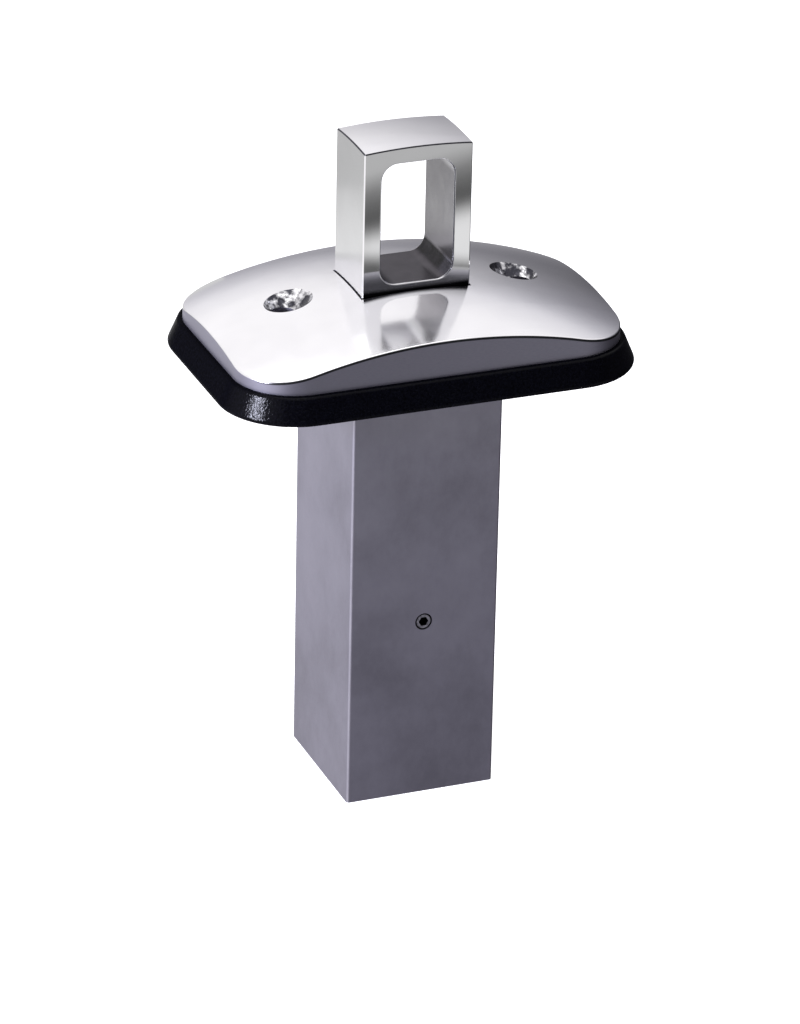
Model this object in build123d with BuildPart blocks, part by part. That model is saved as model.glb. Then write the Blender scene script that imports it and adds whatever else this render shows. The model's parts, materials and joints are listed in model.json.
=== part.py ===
"""Retractable deck bollard: a mooring post that rises out of a domed deck plate.

Millimetres. The origin is the middle of the deck's surface, under the gasket. +Z is up,
+X runs along the deck plate and -Y is the side with the stop screw. The post is modelled
raised. Pushed down by FLUSH_TRAVEL it latches level with the plate, and pushed on to
FULL_TRAVEL it is freed to rise again.
"""

from build123d import *
from math import sqrt
import os

os.makedirs("parts", exist_ok=True)

# Deck plate: a casting with straight walls under a dome that is curved both ways
PLATE_LENGTH = 178.0
PLATE_WIDTH = 116.0
PLATE_CORNER = 27.5
PLATE_CROWN = 36.9
DOME_RADIUS_X = 260.0
DOME_RADIUS_Y = 211.0
PLATE_SEAT = 4.0
PLATE_WALL = 7.0
PLATE_POCKET_TOP = 14.0
PLATE_EDGE = 0.8
DOME_OVERRUN = 10.0
SINK_OVERRUN = 10.0
BOLT_SPACING = 110.0
BOLT_HOLE_RADIUS = 5.5
BOLT_SINK_RADIUS = 10.5
BOLT_BOSS_RADIUS = 14.0

# Gasket between plate and deck
GASKET_HEIGHT = 12.2
GASKET_FLARE = 7.4
GASKET_LIP = 2.2
GASKET_ROUNDING = 1.6
GASKET_TUBE_GAP = 0.5

# Housing tube below the deck
TUBE_SIDE = 70.0
TUBE_WALL = 4.0
TUBE_BOTTOM = -201.0
TUBE_TOP = 10.0
TUBE_CORNER = 1.5
TUBE_BORE = TUBE_SIDE - 2 * TUBE_WALL
TUBE_INSIDE = TUBE_BORE / 2
TUBE_OUTSIDE = TUBE_SIDE / 2

# Bollard post, its rope window and its travel
POST_WIDTH = 50.0
POST_DEPTH = 34.0
POST_CHAMFER = 0.5
SLOT_GAP = 0.6
FLUSH_TRAVEL = 66.6
FULL_TRAVEL = 70.0
POST_CROWN = PLATE_CROWN + FLUSH_TRAVEL
POST_BOTTOM = -24.0
WINDOW_WIDTH = 33.6
WINDOW_BOTTOM = 39.9
WINDOW_TOP = 95.6
WINDOW_CORNER = 7.5
WINDOW_EDGE = 0.6

# Upper guide, wiper and buffer round the post
GUIDE_SIDE = 61.8
GUIDE_BOTTOM = -14.0
GUIDE_GAP = 0.1
WIPER_BOTTOM = 6.0
WIPER_RIM = 4.0
BUFFER_TOP = -14.3
BUFFER_RIM = 5.0
BUFFER_CORNER = 3.0
GUIDE_SCREW_X = 18.0
GUIDE_SCREW_Y = 23.8
GUIDE_SCREW_LENGTH = 29.0
GUIDE_SCREW_THREAD = 12.0
GUIDE_SINK_RADIUS = 4.4
GUIDE_SINK_DEPTH = 5.2

# Guide foot that runs in the tube
FOOT_SIDE = 61.6
FOOT_TOP = POST_BOTTOM
FOOT_BOTTOM = -123.0
FOOT_CHAMFER = 10.0
FOOT_BACK_FLOOR = 18.5
FOOT_BACK_WIDTH = 36.0
STOP_HEIGHT = -116.0
STOP_DOG_RADIUS = 2.7
STOP_SLOT_RADIUS = 3.0
STOP_SLOT_FLOOR = -26.5
STOP_DOG_TIP = -27.0
STOP_SLOT_SPARE = 0.2
STOP_CHAMFER = 0.4
STOP_RECESS = 0.2
STOP_KEY = 4.0
STOP_KEY_DEPTH = 3.2
FOOT_SCREW_X = 18.0
FOOT_SCREW_Y = 10.0
FOOT_SCREW_LENGTH = 34.0
FOOT_SCREW_THREAD = 18.0
FOOT_SINK_RADIUS = 5.2
FOOT_SINK_DEPTH = 80.0

# Return spring and its rod
SPRING_BORE_RADIUS = 10.5
SPRING_TOP = 8.0
SPRING_RADIUS = 8.1
SPRING_WIRE = 0.9
SPRING_TURNS = 14
ROD_RADIUS = 5.0
ROD_TOP = -70.0
ROD_CHAMFER = 1.0
ROD_THREAD = 14.0
ROD_SCREW_LENGTH = 18.0

# Bottom closure
BASE_SIDE = 61.6
BASE_THICKNESS = 5.0
BASE_TOP = TUBE_BOTTOM + BASE_THICKNESS
SEAT_THICKNESS = 2.0
SEAT_RADIUS = 9.8
SEAT_GAP = 0.1
BLOCK_LEG = 9.0
BLOCK_HEIGHT = 14.0
BASE_SCREW_PLACE = 27.8
BASE_SCREW_LENGTH = 14.0
BLOCK_THREAD = 10.0
DRAIN_RADIUS = 5.7
DRAIN_Y = -20.0
BUMPER_THICKNESS = 2.5
BUMPER_PLACE = 24.0
BUMPER_WIDTH = 7.0
BUMPER_LENGTH = 36.0
BUMPER_CORNER = 2.0

# Push-push latch on the back wall
LATCH_X = -7.0
LATCH_Z = -40.0
LATCH_ARM = 68.0
CAM_THICKNESS = 4.0
CAM_WIDTH = 35.8
CAM_BOTTOM = -119.0
CAM_TOP = -29.0
CAM_FLOOR = 19.7
LANE_RADIUS = 2.4
CAM_CORNER = 3.0
CAM_SCREW_X = 13.7
CAM_SCREW_INSET = 5.0
CAM_SCREW_LENGTH = 9.0
CAM_SCREW_THREAD = 6.0
POCKET_SLOPE = 1.5
ISLAND_RISE = 9.0
ISLAND_POINT = 5.0
NOTCH_SPARE = 0.6
LATCH_PIN_RADIUS = 2.0
LATCH_PIN_TIP = 20.0
ARM_FRONT = 24.6
ARM_THICKNESS = 2.5
ARM_WIDTH = 7.0
ARM_HUB_RADIUS = 7.0
ARM_TIP_RADIUS = 4.5
ARM_PLAY = 0.06
LATCH_PIN_CHAMFER = 0.3
BUSH_FLANGE_FRONT = 22.9
BUSH_RADIUS = 4.0
BUSH_FLANGE_RADIUS = 5.5
BUSH_FLANGE_THICKNESS = 1.5
LATCH_SCREW_LENGTH = 11.5
BIAS_GAP = 0.7
BIAS_PITCH = 0.9
BIAS_TURNS = 3
BIAS_RADIUS = 5.0
BIAS_WIRE = 0.4
CAM_FACE = FOOT_BACK_FLOOR + CAM_THICKNESS
LATCH_PIN_Z = LATCH_Z - LATCH_ARM

# Screws: shank radius, head radius and key size, with the head's height on cap screws
M3_SUNK = {"radius": 1.5, "head_radius": 2.9, "key": 2.0}
M5_SUNK = {"radius": 2.5, "head_radius": 4.8, "key": 3.0}
M6_SUNK = {"radius": 3.0, "head_radius": 6.0, "key": 4.0}
M5_CAP = {"radius": 2.5, "head_radius": 4.25, "head_height": 5.0, "key": 4.0}
M6_CAP = {"radius": 3.0, "head_radius": 5.0, "head_height": 6.0, "key": 5.0}
STOP_RADIUS = 4.0
CAP_KEY_SHARE = 0.6
SUNK_KEY_SHARE = 0.8
RIGHT_ANGLE = 90


def save(part, label):
    """Writes one piece as its own file."""
    part.label = label
    export_step(part, f"parts/{label}.step")


def plate_outline(margin):
    """The deck plate's outline, grown by margin, in the sketch that is open."""
    return RectangleRounded(
        PLATE_LENGTH + 2 * margin, PLATE_WIDTH + 2 * margin, PLATE_CORNER + margin
    )


def dome_barrel(crown_height):
    """The solid below a dome of that crown height: an arc turned about a line along X."""
    reach = PLATE_LENGTH / 2 + DOME_OVERRUN
    axis_height = crown_height - DOME_RADIUS_Y
    end_height = crown_height - DOME_RADIUS_X + sqrt(DOME_RADIUS_X**2 - reach**2)
    with BuildPart() as barrel:
        with BuildSketch(Plane.XZ):
            with BuildLine():
                ThreePointArc((-reach, end_height), (0, crown_height), (reach, end_height))
                Polyline(
                    (reach, end_height), (reach, axis_height),
                    (-reach, axis_height), (-reach, end_height),
                )
            make_face()
        revolve(axis=Axis((0, 0, axis_height), (1, 0, 0)))
    return barrel.part


def cap_screw(place, height, length, radius, head_radius, head_height, key):
    """A cap screw that points up, with the outer end of its head at height."""
    top = Plane(origin=(place[0], place[1], height))
    with BuildPart() as screw:
        with BuildSketch(top):
            Circle(head_radius)
        extrude(amount=head_height)
        with BuildSketch(top.offset(head_height)):
            Circle(radius)
        extrude(amount=length)
        with BuildSketch(top):
            RegularPolygon(key / 2, 6, major_radius=False)
        extrude(amount=head_height * CAP_KEY_SHARE, mode=Mode.SUBTRACT)
    return screw.part


def sunk_screw(plane, length, radius, head_radius, key):
    """A countersunk screw whose head lies in plane, with its shank along plane's normal."""
    head_height = head_radius - radius
    with BuildPart() as screw:
        with BuildSketch(plane):
            Circle(head_radius)
        with BuildSketch(plane.offset(head_height)):
            Circle(radius)
        loft()
        with BuildSketch(plane.offset(head_height)):
            Circle(radius)
        extrude(amount=length - head_height)
        with BuildSketch(plane):
            RegularPolygon(key / 2, 6, major_radius=False)
        extrude(amount=head_height * SUNK_KEY_SHARE, mode=Mode.SUBTRACT)
    return screw.part


def sunk_hole(screw, depth):
    """A countersunk hole that fits a sunk screw."""
    CounterSinkHole(
        screw["radius"], screw["head_radius"], depth=depth, counter_sink_angle=RIGHT_ANGLE
    )


def four_places(x, y):
    """The four corners of a rectangle about the middle."""
    return [(x_sign * x, y_sign * y) for x_sign in (-1, 1) for y_sign in (-1, 1)]


def screw_set(label, screws):
    """One node that holds several separate screws."""
    save(Compound(children=screws), label)


# Deck plate
plate_dome = dome_barrel(PLATE_CROWN)
bolt_places = [(-BOLT_SPACING / 2, 0), (BOLT_SPACING / 2, 0)]
guide_screw_places = four_places(GUIDE_SCREW_X, GUIDE_SCREW_Y)
bolt_sink_bottom = (
    PLATE_CROWN - DOME_RADIUS_X + sqrt(DOME_RADIUS_X**2 - (BOLT_SPACING / 2) ** 2)
    - (BOLT_SINK_RADIUS - BOLT_HOLE_RADIUS)
)

with BuildPart() as deck_plate:
    with BuildSketch(Plane.XY.offset(PLATE_SEAT)):
        plate_outline(0)
    extrude(amount=PLATE_CROWN)
    add(plate_dome, mode=Mode.INTERSECT)
    fillet(deck_plate.faces().sort_by(Axis.Z)[-1].edges(), PLATE_EDGE)
    # hollow cast underside, left and right of the tube, with a boss at each bolt
    with BuildSketch(Plane.XY.offset(PLATE_SEAT)):
        RectangleRounded(
            PLATE_LENGTH - 2 * PLATE_WALL, PLATE_WIDTH - 2 * PLATE_WALL, PLATE_CORNER - PLATE_WALL
        )
        Rectangle(TUBE_SIDE + 2 * PLATE_WALL, PLATE_WIDTH, mode=Mode.SUBTRACT)
        with Locations(*bolt_places):
            Circle(BOLT_BOSS_RADIUS, mode=Mode.SUBTRACT)
    extrude(amount=PLATE_POCKET_TOP - PLATE_SEAT, mode=Mode.SUBTRACT)
    # seat for the tube and slot for the post
    with BuildSketch(Plane.XY.offset(PLATE_SEAT)):
        RectangleRounded(TUBE_SIDE, TUBE_SIDE, TUBE_CORNER)
    extrude(amount=TUBE_TOP - PLATE_SEAT, mode=Mode.SUBTRACT)
    with BuildSketch(Plane.XY.offset(PLATE_SEAT)):
        Rectangle(POST_WIDTH + 2 * SLOT_GAP, POST_DEPTH + 2 * SLOT_GAP)
    extrude(amount=PLATE_CROWN, mode=Mode.SUBTRACT)
    # bolt holes, countersunk to the dome's surface
    with BuildSketch(Plane.XY.offset(PLATE_SEAT)):
        with Locations(*bolt_places):
            Circle(BOLT_HOLE_RADIUS)
    extrude(amount=PLATE_CROWN, mode=Mode.SUBTRACT)
    for place in bolt_places:
        with BuildSketch(Plane.XY.offset(bolt_sink_bottom)):
            with Locations(place):
                Circle(BOLT_HOLE_RADIUS)
        with BuildSketch(Plane.XY.offset(bolt_sink_bottom + SINK_OVERRUN)):
            with Locations(place):
                Circle(BOLT_HOLE_RADIUS + SINK_OVERRUN)
        loft(mode=Mode.SUBTRACT)
    # tapped holes for the guide's screws
    with BuildSketch(Plane.XY.offset(TUBE_TOP)):
        with Locations(*guide_screw_places):
            Circle(M5_CAP["radius"])
    extrude(amount=GUIDE_SCREW_THREAD, mode=Mode.SUBTRACT)
save(deck_plate.part, "deck_plate")

# Gasket: a flared rubber skirt with a seat for the plate and a thin base under it
with BuildPart() as deck_gasket:
    with BuildSketch(Plane.XY):
        plate_outline(GASKET_FLARE)
    with BuildSketch(Plane.XY.offset(GASKET_HEIGHT)):
        plate_outline(GASKET_LIP)
    loft()
    rim_edges = deck_gasket.edges().group_by(Axis.Z)
    fillet(rim_edges[0] + rim_edges[-1], GASKET_ROUNDING)
    with BuildSketch(Plane.XY.offset(PLATE_SEAT)):
        plate_outline(0)
    extrude(amount=GASKET_HEIGHT, mode=Mode.SUBTRACT)
    with BuildSketch(Plane.XY):
        Rectangle(TUBE_SIDE + 2 * GASKET_TUBE_GAP, TUBE_SIDE + 2 * GASKET_TUBE_GAP)
        with Locations(*bolt_places):
            Circle(BOLT_HOLE_RADIUS)
    extrude(amount=PLATE_SEAT, mode=Mode.SUBTRACT)
save(deck_gasket.part, "deck_gasket")

# Housing tube, with the stop screw's hole in front and the latch screw's sink behind
with BuildPart() as housing_tube:
    with BuildSketch(Plane.XY.offset(TUBE_BOTTOM)):
        RectangleRounded(TUBE_SIDE, TUBE_SIDE, TUBE_CORNER)
        Rectangle(TUBE_BORE, TUBE_BORE, mode=Mode.SUBTRACT)
    extrude(amount=TUBE_TOP - TUBE_BOTTOM)
    with BuildSketch(Plane.XZ.offset(TUBE_INSIDE)):
        with Locations((0, STOP_HEIGHT)):
            Circle(STOP_RADIUS)
    extrude(amount=TUBE_WALL, mode=Mode.SUBTRACT)
    with Locations(Plane(origin=(LATCH_X, TUBE_OUTSIDE, LATCH_Z), x_dir=(1, 0, 0), z_dir=(0, 1, 0))):
        sunk_hole(M5_SUNK, TUBE_WALL)
save(housing_tube.part, "housing_tube")

# Upper guide: a plastic bush inside the tube's top, screwed up into the plate
with BuildPart() as upper_guide:
    with BuildSketch(Plane.XY.offset(GUIDE_BOTTOM)):
        RectangleRounded(GUIDE_SIDE, GUIDE_SIDE, TUBE_CORNER)
        Rectangle(POST_WIDTH + 2 * GUIDE_GAP, POST_DEPTH + 2 * GUIDE_GAP, mode=Mode.SUBTRACT)
    extrude(amount=TUBE_TOP - GUIDE_BOTTOM)
    with BuildSketch(Plane.XY.offset(WIPER_BOTTOM)):
        Rectangle(POST_WIDTH + 2 * WIPER_RIM, POST_DEPTH + 2 * WIPER_RIM)
    extrude(amount=TUBE_TOP - WIPER_BOTTOM, mode=Mode.SUBTRACT)
    with Locations(Plane.XY.offset(GUIDE_BOTTOM).rotated((180, 0, 0))):
        with Locations(*guide_screw_places):
            CounterBoreHole(M5_CAP["radius"], GUIDE_SINK_RADIUS, GUIDE_SINK_DEPTH)
save(upper_guide.part, "upper_guide")

guide_screw_head = GUIDE_BOTTOM + GUIDE_SINK_DEPTH - M5_CAP["head_height"]
guide_screws = [
    cap_screw(place, guide_screw_head, GUIDE_SCREW_LENGTH, **M5_CAP) for place in guide_screw_places
]
screw_set("guide_screws", guide_screws)

# Wiper: a rubber ring that keeps water off the guide
with BuildPart() as wiper_seal:
    with BuildSketch(Plane.XY.offset(WIPER_BOTTOM)):
        Rectangle(POST_WIDTH + 2 * WIPER_RIM, POST_DEPTH + 2 * WIPER_RIM)
        Rectangle(POST_WIDTH + GUIDE_GAP, POST_DEPTH + GUIDE_GAP, mode=Mode.SUBTRACT)
    extrude(amount=TUBE_TOP - WIPER_BOTTOM)
save(wiper_seal.part, "wiper_seal")

# Stop screw: a flush set screw whose dog point runs in the foot's slot
with BuildPart() as stop_screw:
    with BuildSketch(Plane.XZ.offset(TUBE_INSIDE)):
        with Locations((0, STOP_HEIGHT)):
            Circle(STOP_RADIUS)
    extrude(amount=TUBE_WALL - STOP_RECESS)
    mouth = stop_screw.faces().filter_by(Axis.Y).sort_by(Axis.Y)[0]
    chamfer(mouth.edges(), STOP_CHAMFER)
    with BuildSketch(Plane.XZ.offset(-STOP_DOG_TIP)):
        with Locations((0, STOP_HEIGHT)):
            Circle(STOP_DOG_RADIUS)
    extrude(amount=TUBE_INSIDE + STOP_DOG_TIP)
    with BuildSketch(Plane.XZ.offset(TUBE_OUTSIDE)):
        with Locations((0, STOP_HEIGHT)):
            RegularPolygon(STOP_KEY / 2, 6, major_radius=False)
    extrude(amount=-STOP_KEY_DEPTH, mode=Mode.SUBTRACT)
save(stop_screw.part, "stop_screw")

# Bottom plate, recessed in the tube's end, with a tapped drain port
base_screw_places = four_places(BASE_SCREW_PLACE, BASE_SCREW_PLACE)
base_under = Plane.XY.offset(TUBE_BOTTOM)
with BuildPart() as bottom_plate:
    with BuildSketch(base_under):
        Rectangle(BASE_SIDE, BASE_SIDE)
    extrude(amount=BASE_THICKNESS)
    with BuildSketch(base_under):
        with Locations((0, DRAIN_Y)):
            Circle(DRAIN_RADIUS)
    extrude(amount=BASE_THICKNESS, mode=Mode.SUBTRACT)
    with Locations(base_under.rotated((180, 0, 0))):
        with Locations(*base_screw_places):
            sunk_hole(M3_SUNK, BASE_THICKNESS)
        sunk_hole(M6_SUNK, BASE_THICKNESS)
save(bottom_plate.part, "bottom_plate")

# Corner blocks, welded into the tube's corners, that the bottom plate is screwed to
with BuildPart() as corner_blocks:
    for x_sign, y_sign in four_places(1, 1):
        with BuildSketch(Plane.XY.offset(BASE_TOP)):
            with BuildLine():
                Polyline(
                    (x_sign * TUBE_INSIDE, y_sign * TUBE_INSIDE),
                    (x_sign * (TUBE_INSIDE - BLOCK_LEG), y_sign * TUBE_INSIDE),
                    (x_sign * TUBE_INSIDE, y_sign * (TUBE_INSIDE - BLOCK_LEG)),
                    close=True,
                )
            make_face()
        extrude(amount=BLOCK_HEIGHT)
    with BuildSketch(Plane.XY.offset(BASE_TOP)):
        with Locations(*base_screw_places):
            Circle(M3_SUNK["radius"])
    extrude(amount=BLOCK_THREAD, mode=Mode.SUBTRACT)
save(corner_blocks.part, "corner_blocks")

bottom_screws = [
    sunk_screw(base_under.shift_origin((x, y, TUBE_BOTTOM)), BASE_SCREW_LENGTH, **M3_SUNK)
    for x, y in base_screw_places
]
screw_set("bottom_screws", bottom_screws)

# Bumpers that the foot lands on at the end of its travel
with BuildPart() as bottom_bumpers:
    with BuildSketch(Plane.XY.offset(BASE_TOP)):
        with Locations((-BUMPER_PLACE, 0), (BUMPER_PLACE, 0)):
            Rectangle(BUMPER_WIDTH, BUMPER_LENGTH)
    extrude(amount=BUMPER_THICKNESS)
    fillet(bottom_bumpers.edges().filter_by(Axis.Z), BUMPER_CORNER)
save(bottom_bumpers.part, "bottom_bumpers")

# Spring rod, standing on the bottom plate, and the screw that holds it
with BuildPart() as spring_rod:
    with BuildSketch(Plane.XY.offset(BASE_TOP)):
        Circle(ROD_RADIUS)
    extrude(amount=ROD_TOP - BASE_TOP)
    chamfer(spring_rod.faces().sort_by(Axis.Z)[-1].edges(), ROD_CHAMFER)
    with BuildSketch(Plane.XY.offset(BASE_TOP)):
        Circle(M6_SUNK["radius"])
    extrude(amount=ROD_THREAD, mode=Mode.SUBTRACT)
save(spring_rod.part, "spring_rod")

save(sunk_screw(base_under, ROD_SCREW_LENGTH, **M6_SUNK), "rod_screw")

# Seat washer under the spring
with BuildPart() as spring_seat:
    with BuildSketch(Plane.XY.offset(BASE_TOP)):
        Circle(SEAT_RADIUS)
        Circle(ROD_RADIUS + SEAT_GAP, mode=Mode.SUBTRACT)
    extrude(amount=SEAT_THICKNESS)
save(spring_seat.part, "spring_seat")

# Return spring
spring_low = BASE_TOP + SEAT_THICKNESS + SPRING_WIRE
spring_height = SPRING_TOP - SPRING_WIRE - spring_low
with BuildPart() as return_spring:
    with BuildLine() as spring_line:
        Helix(spring_height / SPRING_TURNS, spring_height, SPRING_RADIUS, center=(0, 0, spring_low))
    with BuildSketch(Plane(origin=spring_line.line @ 0, z_dir=spring_line.line % 0)):
        Circle(SPRING_WIRE)
    sweep(path=spring_line.line)
save(return_spring.part, "return_spring")

# Bollard post: domed to match the plate, with the rope window through it
post_dome = dome_barrel(POST_CROWN)
foot_screw_places = four_places(FOOT_SCREW_X, FOOT_SCREW_Y)
with BuildPart() as bollard_post:
    with BuildSketch(Plane.XY.offset(POST_BOTTOM)):
        Rectangle(POST_WIDTH, POST_DEPTH)
    extrude(amount=POST_CROWN - POST_BOTTOM)
    add(post_dome, mode=Mode.INTERSECT)
    upright_edges = bollard_post.edges().filter_by(Axis.Z)
    crown_edges = bollard_post.faces().sort_by(Axis.Z)[-1].edges()
    chamfer(upright_edges + crown_edges, POST_CHAMFER)
    with BuildSketch(Plane.XZ):
        with Locations((0, (WINDOW_BOTTOM + WINDOW_TOP) / 2)):
            RectangleRounded(WINDOW_WIDTH, WINDOW_TOP - WINDOW_BOTTOM, WINDOW_CORNER)
    extrude(amount=POST_DEPTH, both=True, mode=Mode.SUBTRACT)
    window_faces = bollard_post.faces().filter_by(Axis.Y)
    window_edges = [
        edge for face in (window_faces.sort_by(Axis.Y)[0], window_faces.sort_by(Axis.Y)[-1])
        for wire in face.inner_wires() for edge in wire.edges()
    ]
    fillet(window_edges, WINDOW_EDGE)
    with BuildSketch(Plane.XY.offset(POST_BOTTOM)):
        Circle(SPRING_BORE_RADIUS)
    extrude(amount=SPRING_TOP - POST_BOTTOM, mode=Mode.SUBTRACT)
    with BuildSketch(Plane.XY.offset(POST_BOTTOM)):
        with Locations(*foot_screw_places):
            Circle(M6_CAP["radius"])
    extrude(amount=FOOT_SCREW_THREAD, mode=Mode.SUBTRACT)
save(bollard_post.part, "bollard_post")

# Guide foot: chamfered to pass the corner blocks, slotted in front, open behind for the latch
slot_top = STOP_HEIGHT + FULL_TRAVEL
cam_middle = (CAM_BOTTOM + CAM_TOP) / 2
cam_screw_places = [
    (x, cam_middle + z) for x, z in four_places(CAM_SCREW_X, CAM_TOP - CAM_SCREW_INSET - cam_middle)
]
with BuildPart() as guide_foot:
    with BuildSketch(Plane.XY.offset(FOOT_BOTTOM)):
        Rectangle(FOOT_SIDE, FOOT_SIDE)
        chamfer(vertices(), FOOT_CHAMFER)
        with Locations((0, FOOT_BACK_FLOOR + FOOT_SIDE / 2)):
            Rectangle(FOOT_BACK_WIDTH, FOOT_SIDE, mode=Mode.SUBTRACT)
    extrude(amount=FOOT_TOP - FOOT_BOTTOM)
    with BuildSketch(Plane.XZ.offset(-STOP_SLOT_FLOOR)):
        with Locations((0, (STOP_HEIGHT + slot_top) / 2)):
            SlotCenterToCenter(FULL_TRAVEL + STOP_SLOT_SPARE, 2 * STOP_SLOT_RADIUS, rotation=90)
    extrude(amount=FOOT_SIDE, mode=Mode.SUBTRACT)
    with BuildSketch(Plane.XY.offset(FOOT_BOTTOM)):
        Circle(SPRING_BORE_RADIUS)
        with Locations(*foot_screw_places):
            Circle(M6_CAP["radius"])
    extrude(amount=FOOT_TOP - FOOT_BOTTOM, mode=Mode.SUBTRACT)
    with BuildSketch(Plane.XY.offset(FOOT_BOTTOM)):
        with Locations(*foot_screw_places):
            Circle(FOOT_SINK_RADIUS)
    extrude(amount=FOOT_SINK_DEPTH, mode=Mode.SUBTRACT)
    with BuildSketch(Plane.XZ.offset(-FOOT_BACK_FLOOR)):
        with Locations(*cam_screw_places):
            Circle(M3_SUNK["radius"])
    extrude(amount=CAM_SCREW_THREAD, mode=Mode.SUBTRACT)
save(guide_foot.part, "guide_foot")

foot_screw_head = FOOT_BOTTOM + FOOT_SINK_DEPTH - M6_CAP["head_height"]
foot_screws = [
    cap_screw(place, foot_screw_head, FOOT_SCREW_LENGTH, **M6_CAP) for place in foot_screw_places
]
screw_set("foot_screws", foot_screws)

# Buffer that meets the upper guide when the post rises
with BuildPart() as upper_buffer:
    with BuildSketch(Plane.XY.offset(FOOT_TOP)):
        RectangleRounded(POST_WIDTH + 2 * BUFFER_RIM, POST_DEPTH + 2 * BUFFER_RIM, BUFFER_CORNER)
        Rectangle(POST_WIDTH, POST_DEPTH, mode=Mode.SUBTRACT)
    extrude(amount=BUFFER_TOP - FOOT_TOP)
save(upper_buffer.part, "upper_buffer")

# Cam plate: a pocket with two lanes round an island, whose notch holds the latch pin
notch_height = LATCH_PIN_Z + FLUSH_TRAVEL + NOTCH_SPARE
pocket_bottom = LATCH_PIN_Z - LANE_RADIUS
pocket_top = LATCH_PIN_Z + FULL_TRAVEL + LANE_RADIUS
island_bottom = LATCH_PIN_Z + ISLAND_RISE
island_side = -LATCH_X - LANE_RADIUS
lane_side = -LATCH_X + LANE_RADIUS
with BuildPart() as cam_plate:
    with BuildSketch(Plane.XZ.offset(-CAM_FACE)):
        with Locations((0, cam_middle)):
            RectangleRounded(CAM_WIDTH, CAM_TOP - CAM_BOTTOM, CAM_CORNER)
    extrude(amount=CAM_THICKNESS)
    with BuildSketch(Plane.XZ.offset(-CAM_FACE)):
        with BuildLine():
            Polyline(
                (-lane_side, pocket_bottom),
                (lane_side, pocket_bottom),
                (lane_side, pocket_top + 2 * POCKET_SLOPE),
                (0, pocket_top + POCKET_SLOPE),
                (-lane_side, pocket_top),
                close=True,
            )
        make_face()
        with BuildLine():
            Polyline(
                (0, island_bottom),
                (island_side, island_bottom + ISLAND_POINT),
                (island_side, notch_height),
                (LANE_RADIUS, notch_height + POCKET_SLOPE),
                (LANE_RADIUS, notch_height),
                (-LANE_RADIUS, notch_height),
                (-LANE_RADIUS, notch_height + POCKET_SLOPE),
                (-island_side, notch_height),
                (-island_side, island_bottom + ISLAND_POINT),
                close=True,
            )
        make_face(mode=Mode.SUBTRACT)
        with Locations((0, notch_height)):
            Circle(LANE_RADIUS)
    extrude(amount=CAM_FACE - CAM_FLOOR, mode=Mode.SUBTRACT)
    with Locations(Plane(origin=(0, CAM_FACE, 0), x_dir=(1, 0, 0), z_dir=(0, 1, 0))):
        with Locations(*[(x, -z) for x, z in cam_screw_places]):
            sunk_hole(M3_SUNK, CAM_THICKNESS)
save(cam_plate.part, "cam_plate")

cam_screws = [
    sunk_screw(
        Plane(origin=(x, CAM_FACE, z), x_dir=(1, 0, 0), z_dir=(0, -1, 0)), CAM_SCREW_LENGTH, **M3_SUNK
    )
    for x, z in cam_screw_places
]
screw_set("cam_screws", cam_screws)

# Latch arm, hanging from the bush on the back wall
latch_plane = Plane.XZ.offset(-ARM_FRONT - ARM_THICKNESS)
with BuildPart() as latch_arm:
    with BuildSketch(latch_plane):
        with Locations((LATCH_X, LATCH_Z)):
            Circle(ARM_HUB_RADIUS)
        with Locations((LATCH_X, LATCH_PIN_Z)):
            Circle(ARM_TIP_RADIUS)
        with Locations((LATCH_X, (LATCH_Z + LATCH_PIN_Z) / 2)):
            Rectangle(ARM_WIDTH, LATCH_ARM)
        with Locations((LATCH_X, LATCH_Z)):
            Circle(BUSH_RADIUS + ARM_PLAY, mode=Mode.SUBTRACT)
        with Locations((LATCH_X, LATCH_PIN_Z)):
            Circle(LATCH_PIN_RADIUS, mode=Mode.SUBTRACT)
    extrude(amount=ARM_THICKNESS)
save(latch_arm.part, "latch_arm")

with BuildPart() as latch_pin:
    with BuildSketch(latch_plane):
        with Locations((LATCH_X, LATCH_PIN_Z)):
            Circle(LATCH_PIN_RADIUS)
    extrude(amount=ARM_FRONT + ARM_THICKNESS - LATCH_PIN_TIP)
    chamfer(latch_pin.faces().sort_by(Axis.Y)[0].edges(), LATCH_PIN_CHAMFER)
save(latch_pin.part, "latch_pin")

# Flanged bush that the arm turns on, and the screw through the back wall that holds it
with BuildPart() as latch_bush:
    with BuildSketch(Plane.XZ.offset(-TUBE_INSIDE)):
        with Locations((LATCH_X, LATCH_Z)):
            Circle(BUSH_RADIUS)
    extrude(amount=TUBE_INSIDE - BUSH_FLANGE_FRONT)
    with BuildSketch(Plane.XZ.offset(-BUSH_FLANGE_FRONT)):
        with Locations((LATCH_X, LATCH_Z)):
            Circle(BUSH_FLANGE_RADIUS)
    extrude(amount=-BUSH_FLANGE_THICKNESS)
    with BuildSketch(Plane.XZ.offset(-TUBE_INSIDE)):
        with Locations((LATCH_X, LATCH_Z)):
            Circle(M5_SUNK["radius"])
    extrude(amount=TUBE_INSIDE - BUSH_FLANGE_FRONT, mode=Mode.SUBTRACT)
save(latch_bush.part, "latch_bush")

latch_sink = Plane(origin=(LATCH_X, TUBE_OUTSIDE, LATCH_Z), x_dir=(1, 0, 0), z_dir=(0, -1, 0))
save(sunk_screw(latch_sink, LATCH_SCREW_LENGTH, **M5_SUNK), "latch_screw")

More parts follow.
